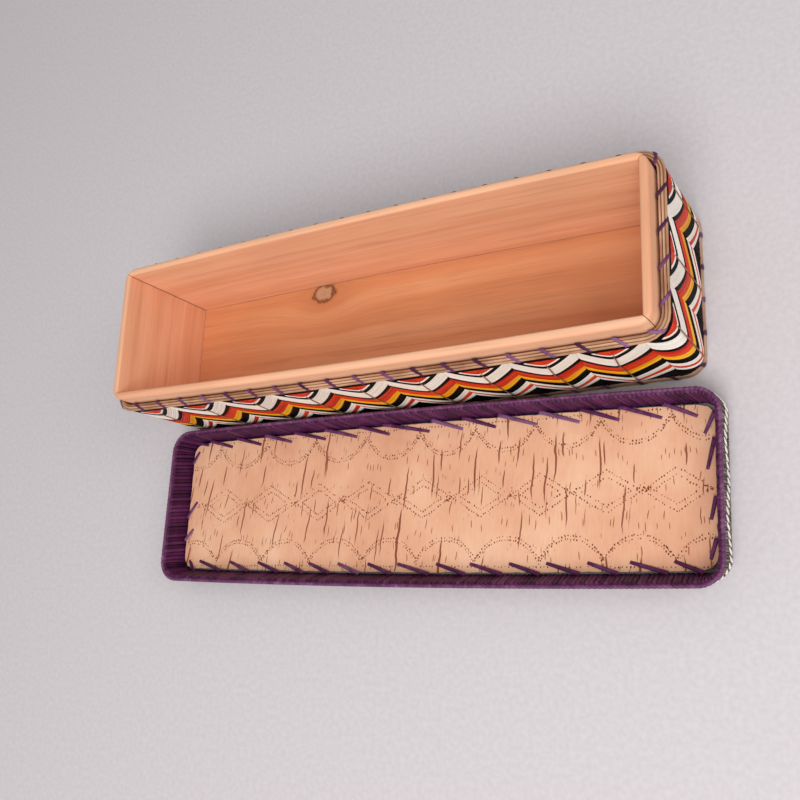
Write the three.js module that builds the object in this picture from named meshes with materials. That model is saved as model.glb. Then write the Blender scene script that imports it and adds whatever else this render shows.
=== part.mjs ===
// Long narrow cedar box with a birchbark cover, quilled in zigzag bands, and its loose lid.
// The box stands open. The lid lies upside down on the table in front of it.
// Millimetres. X runs along the box, Y runs to the back, Z is up, and the table is z = 0.
// The origin is the middle of the underside of the bottom board.
import * as THREE from 'three';

// Cedar liner: four mitred boards around a bottom board.
const linerHalfLength = 150;
const linerHalfWidth = 38;
const linerHeight = 73.8;
const boardThickness = 4.1;
const floorHeight = 11;
const linerCornerRadius = 7;
const outerRoundOver = 2;
const innerRoundOver = 1.2;

// The long sides of the box and of the lid bow out a little at mid length.
const boxBow = 1.4;
const lidBow = 1.6;

// Gaps left between pieces that touch in the real box.
const fitGap = 0.3;
const mitreGap = 0.3;

// Birchbark cover. It leans out a little from foot to rim.
const barkThickness = 1.3;
const quillThickness = 0.8;
const quillFaceAtFoot = 2.6;
const quillFaceAtRim = 4.0;

// Rim hoop: three flat splints side by side, lashed on with dyed root. The liner stands above it.
const collarHeight = 8.2;
const rimHoopInner = 1.2;
const rimSplintWidth = 0.9;
const rimSplintGap = 0.3;
const rimHoopHeight = 3;
const rimHoopTop = linerHeight - collarHeight;
const rimHoopBottom = rimHoopTop - rimHoopHeight;
const rimSplintDrop = [0, 0.35, 0.9];

// Foot hoop: one splint under the edge of the cover.
const footHoopInner = 1.1;
const footHoopOuter = 2.7;
const footHoopBottom = 0.9;
const footHoopHeight = 4.3;
const footHoopTop = footHoopBottom + footHoopHeight;

// The cover reaches from one hoop to the other, with room for the lashing at each.
const lashRoomAtRim = 1.2;
const lashRoomAtFoot = 1.1;
const coverTop = rimHoopBottom - lashRoomAtRim;
const coverBottom = footHoopTop + lashRoomAtFoot;

// Root lashings.
const lashThickness = 0.55;
const lashClearance = 0.1;
const lashInnerClearance = 0.3;
const lashOuterClearance = 0.2;
const rimLashWidth = 2.4;
const rimLashSlant = 6.5;
const rimLashLean = 0.8;
const rimLashLead = 6;
const footLashWidth = 2.2;
const footLashSlant = 6;
const footLashLean = 1.5;
const footLashStart = 4;

// Zigzag of the quill bands. The nine peaks along the front are where the photograph has them,
// as shares of the way from mid length to the end of the liner, and the rest are spread evenly
// round the other three sides.
const frontPeaks = [-0.785, -0.557, -0.326, -0.106, 0.115, 0.332, 0.546, 0.755, 0.951];
const peaksRoundTheRest = 15;
const bandGap = 0.26;
const bandLeast = 0.5;

// Quill bands from the rim down. Each has the place of its lower edge in a valley and at a peak,
// as a share of the way up the cover.
const boxBands = [
  { name: 'quills_red_fans', slot: 'quill_red', valley: 0.797, peak: 1.093 },
  { name: 'quills_white_fine', slot: 'quill_white', valley: 0.762, peak: 1.058 },
  { name: 'quills_black_upper', slot: 'quill_black', valley: 0.708, peak: 0.991 },
  { name: 'quills_white_broad', slot: 'quill_white', valley: 0.492, peak: 0.829 },
  { name: 'quills_black_fine', slot: 'quill_black', valley: 0.450, peak: 0.773 },
  { name: 'quills_red_broad', slot: 'quill_red', valley: 0.312, peak: 0.624 },
  { name: 'quills_yellow', slot: 'quill_yellow', valley: 0.212, peak: 0.528 },
  { name: 'quills_black_broad', slot: 'quill_black', valley: 0.096, peak: 0.394 },
  { name: 'quills_white_lower', slot: 'quill_white', valley: 0.024, peak: 0.310 },
  { name: 'quills_red_fine', slot: 'quill_red', valley: 0.010, peak: 0.240 },
  { name: 'quills_white_last', slot: 'quill_white', valley: 0.005, peak: 0.176 },
  { name: 'quills_black_fans', slot: 'quill_black', valley: 0, peak: 0 },
];

// Lid, measured upside down as it lies: z = 0 is its top face, and its rim points up.
// Its wall leans out from the face to the rim, by lidFrontLean in all along the front, less at
// the ends and not at all along the back.
const lidPlayAtSides = 3.2;
const lidPlayAtEnds = 6.6;
const lidWallAtRim = 3.2;
const lidHalfLength = linerHalfLength + lidPlayAtEnds + lidWallAtRim;
const lidHalfWidth = linerHalfWidth + lidPlayAtSides + lidWallAtRim;
const lidCornerRadius = 13;
const lidHeight = 18;
const lidFrontLean = 4.2;
const lidX = 2.2;
const lidTurn = -0.018;
const lidStandOff = 1.2;
const footReach = footHoopOuter + lashOuterClearance + lashThickness;
const lidTurnReach = lidHalfLength * Math.abs(lidTurn);
const lidY = -(linerHalfWidth + footReach + lidStandOff + lidTurnReach + lidHalfWidth);

// Lid wall, in layers from the outside in. Offsets are from the outer face.
const sideQuillThickness = 0.5;
const sideQuillWaves = 24;
const sideQuillLow = 2;
const sideQuillRise = 5;
const sideQuillBand = 4;
const outerWrapFace = 0.8;
const outerWrapThickness = 0.9;
const lidCoreFace = 2.0;
const lidCoreThickness = 1.0;
const innerWrapBack = 3.3;
const innerWrapAtRim = 3.8;
const innerWrapAtFoot = 5.0;
const rimBeadOuter = 0.3;
const rimBeadHeight = 1.5;
const rimBeadBottom = lidHeight - rimBeadHeight;
const wrapTop = rimBeadBottom - fitGap;

// Lid panel of birchbark, and the root that sews it to the wall.
const lidQuillBottom = 2.1;
const lidQuillTop = lidQuillBottom + quillThickness;
const panelThickness = 1.1;
const panelBottom = lidQuillTop + fitGap;
const panelTop = panelBottom + panelThickness;
const panelInset = 6.1;
const panelCornerRadius = 7;
const stitchCount = 38;
const stitchWidth = 2.0;
const stitchThickness = 0.5;
const stitchReach = 17;
const stitchOutside = 0.75;
const stitchHoleInset = 5.1;
const stitchStart = 3;

// Quillwork on the top face of the lid: scallops along both long edges and a chain of diamonds.
const lidQuillInset = 12.2;
const scallopPitch = 33.4;
const scallopShift = 0.8;
const scallopDepth = 10.5;
const scallopRoot = 1.2;
const diamondShift = 20.5;
const diamondHalfHeight = 10;
const diamondNeck = 1.1;
const diamondBand = 3;

// Colour, roughness and metalness of each finish.
const finishes = {
  cedar: [0xe3a67c, 0.6],
  cedar_floor: [0xd9966a, 0.62],
  birchbark: [0xdba883, 0.75],
  splint: [0xb98a5c, 0.65],
  purple_root: [0x5d2b66, 0.5],
  faded_root: [0x8f8578, 0.6],
  quill_white: [0xe9ddd0, 0.4],
  quill_black: [0x14110f, 0.4],
  quill_red: [0xcf3a1c, 0.4],
  quill_yellow: [0xe3a21d, 0.4],
};
const materials = {};
for (const [slot, [colour, roughness]] of Object.entries(finishes)) {
  materials[slot] = new THREE.MeshStandardMaterial({ color: colour, roughness, metalness: 0, name: slot });
}

const part = new THREE.Group();
part.name = 'quilled_cedar_box';

function add(name, slot, geometry) {
  const mesh = new THREE.Mesh(geometry, materials[slot]);
  mesh.name = name;
  part.add(mesh);
}

// A rounded rectangle seen from above, walked anticlockwise from the left end of the front side.
// Lengths along it are measured at the given distance outside it, so that work on the
// outer face keeps its spacing round the corners.
function makePlan(halfLength, halfWidth, radius, sideBow, measuredAt) {
  const sideX = halfLength - radius;
  const sideY = halfWidth - radius;
  const arc = (Math.PI / 2) * (radius + measuredAt);
  const legs = [
    { run: 2 * sideX, from: [-sideX, -halfWidth], along: [1, 0], bow: true },
    { run: arc, centre: [sideX, -sideY], start: -Math.PI / 2 },
    { run: 2 * sideY, from: [halfLength, -sideY], along: [0, 1], bow: false },
    { run: arc, centre: [sideX, sideY], start: 0 },
    { run: 2 * sideX, from: [sideX, halfWidth], along: [-1, 0], bow: true },
    { run: arc, centre: [-sideX, sideY], start: Math.PI / 2 },
    { run: 2 * sideY, from: [-halfLength, sideY], along: [0, -1], bow: false },
    { run: arc, centre: [-sideX, -sideY], start: Math.PI },
  ];
  const length = legs.reduce((sum, leg) => sum + leg.run, 0);

  // The point and outward direction at a distance along the plan.
  function at(distance) {
    let left = ((distance % length) + length) % length;
    let index = 0;
    while (index < legs.length - 1 && left > legs[index].run) {
      left -= legs[index].run;
      index += 1;
    }
    const leg = legs[index];
    if (leg.centre) {
      const angle = leg.start + (left / leg.run) * (Math.PI / 2);
      const out = [Math.cos(angle), Math.sin(angle)];
      return { point: [leg.centre[0] + radius * out[0], leg.centre[1] + radius * out[1]], out };
    }
    const out = [leg.along[1], -leg.along[0]];
    const share = (2 * left) / leg.run - 1;
    const bulge = leg.bow ? sideBow * (1 - share * share) : 0;
    return {
      point: [
        leg.from[0] + leg.along[0] * left + out[0] * bulge,
        leg.from[1] + leg.along[1] * left + out[1] * bulge,
      ],
      out,
    };
  }

  // Distances at which a smooth ring needs a section.
  function stops(perSide, perCorner) {
    const list = [];
    let start = 0;
    for (const leg of legs) {
      const pieces = leg.centre ? perCorner : leg.bow ? perSide : 1;
      for (let i = 0; i < pieces; i += 1) {
        list.push(start + (leg.run * i) / pieces);
      }
      start += leg.run;
    }
    return list;
  }
  return { length, at, stops, frontStart: -sideX };
}

const boxPlan = makePlan(linerHalfLength, linerHalfWidth, linerCornerRadius, boxBow, quillFaceAtRim);
const lidPlan = makePlan(lidHalfLength, lidHalfWidth, lidCornerRadius, lidBow, 0);

// Makes a solid from a row of outlines with the same number of corners each.
function skin(sections, closed) {
  const corners = sections[0].length;
  const positions = sections.flat(2);
  const index = [];
  const rows = closed ? sections.length : sections.length - 1;
  for (let i = 0; i < rows; i += 1) {
    const here = i * corners;
    const next = ((i + 1) % sections.length) * corners;
    for (let j = 0; j < corners; j += 1) {
      const k = (j + 1) % corners;
      index.push(here + j, next + j, next + k);
      index.push(here + j, next + k, here + k);
    }
  }
  if (!closed) {
    const last = (sections.length - 1) * corners;
    for (const [a, b, c] of capFaces(sections[0])) {
      index.push(a, b, c);
    }
    for (const [a, b, c] of capFaces(sections[sections.length - 1])) {
      index.push(last + c, last + b, last + a);
    }
  }
  return facingOut(positions, index);
}

// Splits a flat outline in space into triangles that run the same way round as it does.
function capFaces(outline) {
  const corner = new THREE.Vector3(...outline[0]);
  const normal = new THREE.Vector3();
  for (let i = 1; i < outline.length - 1; i += 1) {
    const a = new THREE.Vector3(...outline[i]).sub(corner);
    const b = new THREE.Vector3(...outline[i + 1]).sub(corner);
    normal.add(a.cross(b));
  }
  normal.normalize();
  const side = new THREE.Vector3(0, 0, 1).cross(normal).normalize();
  const up = normal.clone().cross(side);
  const flat = outline.map((p) => {
    const v = new THREE.Vector3(...p).sub(corner);
    return new THREE.Vector2(v.dot(side), v.dot(up));
  });
  return THREE.ShapeUtils.triangulateShape(flat, []).map(([a, b, c]) => {
    const turn = flat[b].clone().sub(flat[a]).cross(flat[c].clone().sub(flat[a]));
    return turn > 0 ? [a, b, c] : [a, c, b];
  });
}

// Turns every face outwards.
function facingOut(positions, index) {
  const point = (i) => new THREE.Vector3(positions[3 * i], positions[3 * i + 1], positions[3 * i + 2]);
  let volume = 0;
  for (let i = 0; i < index.length; i += 3) {
    volume += point(index[i]).dot(point(index[i + 1]).cross(point(index[i + 2])));
  }
  if (volume < 0) {
    index.reverse();
  }
  const geometry = new THREE.BufferGeometry();
  geometry.setAttribute('position', new THREE.Float32BufferAttribute(positions, 3));
  geometry.setIndex(index);
  geometry.computeVertexNormals();
  return geometry;
}

// A closed ring round a plan. The profile gives corners as [distance outside the plan, height].
function ring(plan, stops, profileAt) {
  const sections = stops.map((stop) => {
    const { point, out } = plan.at(stop);
    return profileAt(stop).map(([offset, z]) => [
      point[0] + out[0] * offset,
      point[1] + out[1] * offset,
      z,
    ]);
  });
  return skin(sections, true);
}

// One mitred liner board. Its outer face rounds the corner and its inner face runs straight to it.
function linerBoard(firstCorner) {
  const arcRun = (Math.PI / 2) * (linerCornerRadius + quillFaceAtRim);
  const longRun = 2 * (linerHalfLength - linerCornerRadius);
  const shortRun = 2 * (linerHalfWidth - linerCornerRadius);
  const isLong = firstCorner % 2 === 0;
  const run = isLong ? longRun : shortRun;
  const starts = [0, longRun + arcRun, longRun + shortRun + 2 * arcRun, 2 * longRun + shortRun + 3 * arcRun];
  const start = starts[firstCorner];
  const cornerSteps = [-0.5, -0.25, 0];
  const middle = isLong ? [0.25, 0.5, 0.75] : [];
  const stops = [
    ...cornerSteps.map((step) => start + step * arcRun),
    ...middle.map((share) => start + share * run),
    ...cornerSteps.map((step) => start + run - step * arcRun).reverse(),
  ];
  const top = linerHeight;
  const t = boardThickness;
  const profile = [
    [0, 0],
    [0, top - outerRoundOver],
    [0.29 * outerRoundOver, top - 0.29 * outerRoundOver],
    [outerRoundOver, top],
    [t - innerRoundOver, top],
    [t - 0.29 * innerRoundOver, top - 0.29 * innerRoundOver],
    [t, top - innerRoundOver],
    [t, 0],
  ];
  const innerX = linerHalfLength - t;
  const innerY = linerHalfWidth - t;
  const across = [0, 1, 0, -1][firstCorner];
  const along = [-1, 0, 1, 0][firstCorner];
  const sections = stops.map((stop, index) => {
    const { point } = boxPlan.at(stop);
    const atCorner = index < 3 || index >= stops.length - 3;
    let inner;
    if (isLong) {
      const bow = atCorner ? 0 : Math.abs(point[1]) - linerHalfWidth;
      inner = [clamp(point[0], innerX), along * (innerY + bow)];
    } else {
      inner = [across * innerX, clamp(point[1], innerY)];
    }
    // The end sections draw back from the mitre by half its gap.
    const back = index === 0 || index === stops.length - 1 ? mitreGap / Math.SQRT2 : 0;
    const nudge = isLong ? [-Math.sign(point[0]) * back, 0] : [0, -Math.sign(point[1]) * back];
    return profile.map(([depth, z]) => {
      const share = depth / t;
      return [
        point[0] * (1 - share) + inner[0] * share + nudge[0],
        point[1] * (1 - share) + inner[1] * share + nudge[1],
        z,
      ];
    });
  });
  // Sections at the mitre run from the rounded outside to the sharp inside corner.
  for (const end of [0, stops.length - 1]) {
    const { point } = boxPlan.at(stops[end]);
    const nudgeX = isLong ? -Math.sign(point[0]) * (mitreGap / Math.SQRT2) : 0;
    const nudgeY = isLong ? 0 : -Math.sign(point[1]) * (mitreGap / Math.SQRT2);
    sections[end] = profile.map(([depth, z]) => {
      const share = depth / t;
      return [
        point[0] * (1 - share) + Math.sign(point[0]) * innerX * share + nudgeX,
        point[1] * (1 - share) + Math.sign(point[1]) * innerY * share + nudgeY,
        z,
      ];
    });
  }
  return skin(sections, false);
}

function clamp(value, limit) {
  return Math.max(-limit, Math.min(limit, value));
}

add('liner_front', 'cedar', linerBoard(0));
add('liner_right_end', 'cedar', linerBoard(1));
add('liner_back', 'cedar', linerBoard(2));
add('liner_left_end', 'cedar', linerBoard(3));

// Bottom board, between the four sides.
function bottomBoard() {
  const halfX = linerHalfLength - boardThickness - fitGap;
  const halfY = linerHalfWidth - boardThickness - fitGap;
  const shape = new THREE.Shape();
  const steps = 4;
  shape.moveTo(-halfX, -halfY);
  for (const side of [-1, 1]) {
    for (let i = 0; i <= steps; i += 1) {
      const share = (2 * i) / steps - 1;
      shape.lineTo(-side * share * halfX, side * (halfY + boxBow * (1 - share * share)));
    }
  }
  return new THREE.ExtrudeGeometry(shape, { depth: floorHeight, bevelEnabled: false });
}
add('liner_bottom', 'cedar_floor', bottomBoard());

// How far the quilled face stands out from the liner at a height.
function quillFace(z) {
  return quillFaceAtFoot + ((quillFaceAtRim - quillFaceAtFoot) * z) / coverTop;
}
const barkFace = (z) => quillFace(z) - quillThickness - fitGap;

const coverCornerSteps = 3;
const coverProfile = [
  [barkFace(coverBottom) - barkThickness, coverBottom],
  [barkFace(coverBottom), coverBottom],
  [barkFace(coverTop), coverTop],
  [barkFace(coverTop) - barkThickness, coverTop],
];
add('bark_cover', 'birchbark', ring(boxPlan, boxPlan.stops(4, coverCornerSteps), () => coverProfile));

// Rim hoop splints.
rimSplintDrop.forEach((drop, i) => {
  const inner = rimHoopInner + i * (rimSplintWidth + rimSplintGap);
  const outer = inner + rimSplintWidth;
  const top = rimHoopTop - drop;
  const profile = [
    [inner, rimHoopBottom],
    [outer, rimHoopBottom],
    [outer, top - 0.4],
    [outer - 0.35, top],
    [inner + 0.35, top],
    [inner, top - 0.4],
  ];
  const name = ['rim_splint_inner', 'rim_splint_middle', 'rim_splint_outer'][i];
  add(name, 'splint', ring(boxPlan, boxPlan.stops(4, 4), () => profile));
});
const rimHoopOuter = rimHoopInner + 3 * rimSplintWidth + 2 * rimSplintGap;

// Foot hoop splint.
const footProfile = [
  [footHoopInner, footHoopBottom],
  [footHoopOuter, footHoopBottom],
  [footHoopOuter, footHoopTop],
  [footHoopInner, footHoopTop],
];
add('foot_splint', 'splint', ring(boxPlan, boxPlan.stops(4, 4), () => footProfile));

// Zigzag heights. Peaks and valleys take turns round the box.
const frontPeakStops = frontPeaks.map((share) => share * linerHalfLength - boxPlan.frontStart);
const lastFrontPeak = frontPeakStops[frontPeakStops.length - 1];
const restRun = boxPlan.length + frontPeakStops[0] - lastFrontPeak;
const peakStops = [...frontPeakStops];
for (let i = 1; i <= peaksRoundTheRest; i += 1) {
  peakStops.push(lastFrontPeak + (restRun * i) / (peaksRoundTheRest + 1));
}
const turns = [];
peakStops.forEach((stop, i) => {
  const next = i + 1 < peakStops.length ? peakStops[i + 1] : peakStops[0] + boxPlan.length;
  turns.push({ stop, height: 1 });
  turns.push({ stop: (stop + next) / 2, height: 0 });
});

// Share of the way from valley to peak at a distance round the box.
function zigzagAt(stop) {
  const first = turns[0].stop;
  const place = first + ((((stop - first) % boxPlan.length) + boxPlan.length) % boxPlan.length);
  let i = turns.length - 1;
  while (turns[i].stop > place) {
    i -= 1;
  }
  const from = turns[i];
  const to = i + 1 < turns.length ? turns[i + 1] : { stop: first + boxPlan.length, height: 1 };
  const share = (place - from.stop) / (to.stop - from.stop);
  return from.height + (to.height - from.height) * share;
}

// Sections at every peak and valley, and where the bark under the quills has its own.
const leastStep = 0.3;
const cornerStops = boxPlan.stops(1, coverCornerSteps).filter((stop) =>
  turns.every((turn) => {
    const away = Math.abs((turn.stop % boxPlan.length) - stop);
    return Math.min(away, boxPlan.length - away) > leastStep;
  }),
);
const bandStops = [...turns.map((turn) => turn.stop % boxPlan.length), ...cornerStops].sort((a, b) => a - b);

// Lower edge of a band. Bands thin out, and never vanish, where they meet the hoops.
function bandEdge(index, share) {
  if (index < 0) {
    return coverTop;
  }
  const { valley, peak } = boxBands[index];
  const height = coverBottom + (coverTop - coverBottom) * (valley + (peak - valley) * share);
  const lowest = coverBottom + bandLeast * (boxBands.length - 1 - index);
  const highest = coverTop - bandLeast * (index + 1);
  return Math.min(highest, Math.max(lowest, height));
}

boxBands.forEach((band, i) => {
  const isFirst = i === 0;
  const isLast = i === boxBands.length - 1;
  const geometry = ring(boxPlan, bandStops, (stop) => {
    const share = zigzagAt(stop);
    const low = bandEdge(i, share) + (isLast ? 0 : bandGap / 2);
    const high = bandEdge(i - 1, share) - (isFirst ? 0 : bandGap / 2);
    return [
      [quillFace(low) - quillThickness, low],
      [quillFace(low), low],
      [quillFace(high), high],
      [quillFace(high) - quillThickness, high],
    ];
  });
  add(band.name, band.slot, geometry);
});

// A flat root wound round a bundle all the way round a plan. It crosses the top on the slant.
function lashing(plan, options) {
  const { turnsRound, start, inner, outer, bottom, top, width, thickness, slant, lean } = options;
  const pitch = plan.length / turnsRound;
  const sections = [];
  for (let i = 0; i < turnsRound; i += 1) {
    const stop = start + i * pitch;
    const bends = [
      { stop, near: [inner, top], far: [inner - thickness, top + thickness] },
      { stop: stop + slant, near: [outer, top], far: [outer + thickness, top + thickness] },
      { stop: stop + slant + lean, near: [outer, bottom], far: [outer + thickness, bottom - thickness] },
      { stop: stop + pitch, near: [inner, bottom], far: [inner - thickness, bottom - thickness] },
    ];
    for (const bend of bends) {
      const sides = [bend.stop - width / 2, bend.stop + width / 2].map((s) => plan.at(s));
      const place = (side, [offset, z]) => [
        side.point[0] + side.out[0] * offset,
        side.point[1] + side.out[1] * offset,
        z,
      ];
      sections.push([
        place(sides[0], bend.near),
        place(sides[1], bend.near),
        place(sides[1], bend.far),
        place(sides[0], bend.far),
      ]);
    }
  }
  return skin(sections, true);
}

add('rim_lashing', 'purple_root', lashing(boxPlan, {
  turnsRound: 2 * peakStops.length,
  start: frontPeakStops[0] - rimLashLead,
  inner: rimHoopInner - lashInnerClearance,
  outer: rimHoopOuter + lashClearance,
  bottom: rimHoopBottom - lashClearance,
  top: rimHoopTop + lashClearance,
  width: rimLashWidth,
  thickness: lashThickness,
  slant: rimLashSlant,
  lean: rimLashLean,
}));

add('foot_lashing', 'purple_root', lashing(boxPlan, {
  turnsRound: 2 * peakStops.length,
  start: footLashStart,
  inner: footHoopInner - lashInnerClearance,
  outer: footHoopOuter + lashOuterClearance,
  bottom: footHoopBottom - lashClearance,
  top: footHoopTop + lashClearance,
  width: footLashWidth,
  thickness: lashThickness,
  slant: footLashSlant,
  lean: footLashLean,
}));

// Everything of the lid is made where it would lie with its middle at the origin, then put in place.
function addToLid(name, slot, geometry) {
  geometry.rotateZ(lidTurn);
  geometry.translate(lidX, lidY, 0);
  add(name, slot, geometry);
}

// How far the lean sets the wall in at a height.
function leanAt(out, z) {
  return lidFrontLean * ((1 - out[1]) / 2) ** 2 * (1 - z / lidHeight);
}
function leaned(stop, profile) {
  const { out } = lidPlan.at(stop);
  return profile.map(([offset, z]) => [offset - leanAt(out, z), z]);
}

const lidStops = lidPlan.stops(4, 8);
const wallLayer = (profile) => ring(lidPlan, lidStops, (stop) => leaned(stop, profile));

addToLid('lid_outer_wrap', 'faded_root', wallLayer([
  [-outerWrapFace - outerWrapThickness, 0],
  [-outerWrapFace - 0.5, 0],
  [-outerWrapFace, 0.8],
  [-outerWrapFace, wrapTop - 0.5],
  [-outerWrapFace - 0.3, wrapTop],
  [-outerWrapFace - outerWrapThickness, wrapTop],
]));

addToLid('lid_wall_splint', 'splint', wallLayer([
  [-lidCoreFace - lidCoreThickness, 0.4],
  [-lidCoreFace, 0.4],
  [-lidCoreFace, wrapTop],
  [-lidCoreFace - lidCoreThickness, wrapTop],
]));

addToLid('lid_inner_wrap', 'purple_root', wallLayer([
  [-innerWrapAtFoot, 0.4],
  [-innerWrapBack, 0.4],
  [-innerWrapBack, wrapTop],
  [-innerWrapAtRim, wrapTop],
]));

const beadMiddle = (rimBeadOuter + lidWallAtRim) / 2;
addToLid('lid_rim_binding', 'purple_root', wallLayer([
  [-lidWallAtRim, rimBeadBottom],
  [-rimBeadOuter, rimBeadBottom],
  [-rimBeadOuter, rimBeadBottom + 0.6],
  [-beadMiddle + 1, lidHeight - 0.15],
  [-beadMiddle, lidHeight],
  [-beadMiddle - 1, lidHeight - 0.15],
  [-lidWallAtRim, rimBeadBottom + 0.6],
]));

// Pale quills woven into the outside of the lid wall: one band that climbs and falls.
const sideWave = lidPlan.length / sideQuillWaves;
const sideTurns = [...Array(2 * sideQuillWaves).keys()].map((i) => (i * sideWave) / 2);
const sideCorners = lidStops.filter((stop) => sideTurns.every((turn) => Math.abs(turn - stop) > leastStep));
const sideStops = [...sideTurns, ...sideCorners].sort((x, y) => x - y);
addToLid('lid_side_quills', 'quill_white', ring(lidPlan, sideStops, (stop) => {
  const share = stop / sideWave - Math.floor(stop / sideWave);
  const low = sideQuillLow + sideQuillRise * Math.abs(2 * share - 1);
  return leaned(stop, [
    [-sideQuillThickness, low],
    [0, low + 0.3],
    [0, low + sideQuillBand - 0.3],
    [-sideQuillThickness, low + sideQuillBand],
  ]);
}));

// The panel lies in the middle of the wall's foot, which the lean sets back.
const panelShift = leanAt([0, -1], panelTop) / 2;
const panelEndLean = leanAt([1, 0], panelTop);
const panelPlan = makePlan(
  lidHalfLength - panelInset - panelEndLean,
  lidHalfWidth - panelInset - panelShift,
  panelCornerRadius,
  lidBow,
  0,
);
function addToPanel(name, slot, geometry) {
  geometry.translate(0, panelShift, 0);
  addToLid(name, slot, geometry);
}

// The panel, with the holes that its stitches come up through.
const stitchPitch = panelPlan.length / stitchCount;
function panelPoint(stop, offset) {
  const { point, out } = panelPlan.at(stop);
  return new THREE.Vector2(point[0] + out[0] * offset, point[1] + out[1] * offset);
}
function lidPanel() {
  const shape = new THREE.Shape(panelPlan.stops(4, 4).map((stop) => panelPoint(stop, 0)));
  for (let i = 0; i < stitchCount; i += 1) {
    const stop = stitchStart + i * stitchPitch;
    const halfLong = stitchWidth / 2 + 0.3;
    const nearEdge = -stitchHoleInset + 0.25;
    const farEdge = -stitchHoleInset - stitchThickness - 0.25;
    shape.holes.push(new THREE.Path([
      panelPoint(stop - halfLong, nearEdge),
      panelPoint(stop - halfLong, farEdge),
      panelPoint(stop + halfLong, farEdge),
      panelPoint(stop + halfLong, nearEdge),
    ]));
  }
  const geometry = new THREE.ExtrudeGeometry(shape, { depth: panelTop - panelBottom, bevelEnabled: false });
  geometry.translate(0, 0, panelBottom);
  return geometry;
}
addToPanel('lid_panel', 'birchbark', lidPanel());

addToPanel('lid_panel_stitches', 'purple_root', lashing(panelPlan, {
  turnsRound: stitchCount,
  start: stitchStart,
  inner: -stitchHoleInset,
  outer: stitchOutside - stitchThickness,
  bottom: panelBottom - lashClearance,
  top: panelTop + lashClearance,
  width: stitchWidth,
  thickness: stitchThickness,
  slant: stitchReach,
  lean: 0.3,
}));

// Quillwork plates on the top face of the lid.
const quillEndX = lidHalfLength - lidQuillInset - panelEndLean;
const quillEndY = lidHalfWidth - lidQuillInset - panelShift;
function scallopAt(x) {
  const place = (x - scallopShift) / scallopPitch;
  const share = place - Math.floor(place);
  return quillEndY - scallopRoot - scallopDepth * (1 - Math.abs(2 * share - 1) ** 2.2);
}
function diamondAt(x) {
  const place = (x - diamondShift) / scallopPitch;
  const share = place - Math.floor(place);
  return diamondNeck / 2 + (diamondHalfHeight - diamondNeck / 2) * (1 - Math.abs(2 * share - 1));
}
function placesAlong(shift, perPitch, end) {
  const list = [-end];
  const step = scallopPitch / perPitch;
  const first = Math.ceil((-end + 0.6 - shift) / step);
  for (let i = first; shift + i * step < end - 0.6; i += 1) {
    list.push(shift + i * step);
  }
  list.push(end);
  return list;
}
function plate(outline, holes = []) {
  const shape = new THREE.Shape(outline.map(([x, y]) => new THREE.Vector2(x, y)));
  for (const hole of holes) {
    shape.holes.push(new THREE.Path(hole.map(([x, y]) => new THREE.Vector2(x, y))));
  }
  const geometry = new THREE.ExtrudeGeometry(shape, { depth: lidQuillTop - lidQuillBottom, bevelEnabled: false });
  geometry.translate(0, 0, lidQuillBottom);
  return geometry;
}

const scallopPlaces = placesAlong(scallopShift, 6, quillEndX);
const diamondPlaces = placesAlong(diamondShift, 2, quillEndX);
for (const [side, name] of [[1, 'back'], [-1, 'front']]) {
  const fans = [
    [quillEndX, side * quillEndY],
    [-quillEndX, side * quillEndY],
    ...scallopPlaces.map((x) => [x, side * (scallopAt(x) + bandGap / 2)]),
  ];
  addToPanel(`lid_quills_scallops_${name}`, 'quill_black', plate(fans));
  const field = [
    ...scallopPlaces.map((x) => [x, side * (scallopAt(x) - bandGap / 2)]),
    ...[...diamondPlaces].reverse().map((x) => [x, side * (diamondAt(x) + bandGap / 2)]),
  ];
  addToPanel(`lid_quills_field_${name}`, 'quill_white', plate(field));
}

// The chain of diamonds, with a centre in each.
const chain = [
  ...diamondPlaces.map((x) => [x, diamondAt(x) - bandGap / 2]),
  ...[...diamondPlaces].reverse().map((x) => [x, -diamondAt(x) + bandGap / 2]),
];
const centres = [];
for (let i = -5; i <= 4; i += 1) {
  const x = diamondShift + (i + 0.5) * scallopPitch;
  if (Math.abs(x) + scallopPitch / 2 < quillEndX) {
    centres.push(x);
  }
}
const diamondOutline = (x, inset) => {
  const halfX = scallopPitch / 2 - inset * 1.9;
  const halfY = diamondHalfHeight - inset * 1.15;
  return [[x - halfX, 0], [x, -halfY], [x + halfX, 0], [x, halfY]];
};
addToPanel('lid_quills_diamond_chain', 'quill_red', plate(chain, centres.map((x) => diamondOutline(x, diamondBand))));
centres.forEach((x, i) => {
  addToPanel(`lid_quills_diamond_${i + 1}`, 'quill_yellow', plate(diamondOutline(x, diamondBand + bandGap)));
});

export default part;
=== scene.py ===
"""Looks for the lidded cedar box with zigzag quillwork: wood, birchbark, quills and dyed root."""

import math
import random

import bmesh
import bpy
from mathutils import Matrix, Vector, noise


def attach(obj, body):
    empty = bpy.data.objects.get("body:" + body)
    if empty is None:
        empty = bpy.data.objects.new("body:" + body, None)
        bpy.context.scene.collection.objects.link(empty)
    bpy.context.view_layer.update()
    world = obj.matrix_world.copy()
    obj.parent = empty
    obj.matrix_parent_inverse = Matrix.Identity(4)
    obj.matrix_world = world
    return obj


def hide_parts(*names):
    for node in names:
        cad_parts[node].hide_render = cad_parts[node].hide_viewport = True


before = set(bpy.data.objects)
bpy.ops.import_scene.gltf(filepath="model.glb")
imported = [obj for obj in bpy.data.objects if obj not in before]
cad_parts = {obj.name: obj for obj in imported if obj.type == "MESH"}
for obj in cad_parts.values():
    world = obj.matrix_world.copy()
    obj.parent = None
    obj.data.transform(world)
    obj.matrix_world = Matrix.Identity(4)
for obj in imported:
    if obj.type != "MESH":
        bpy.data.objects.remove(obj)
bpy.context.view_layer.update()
MM = 0.001
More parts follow.
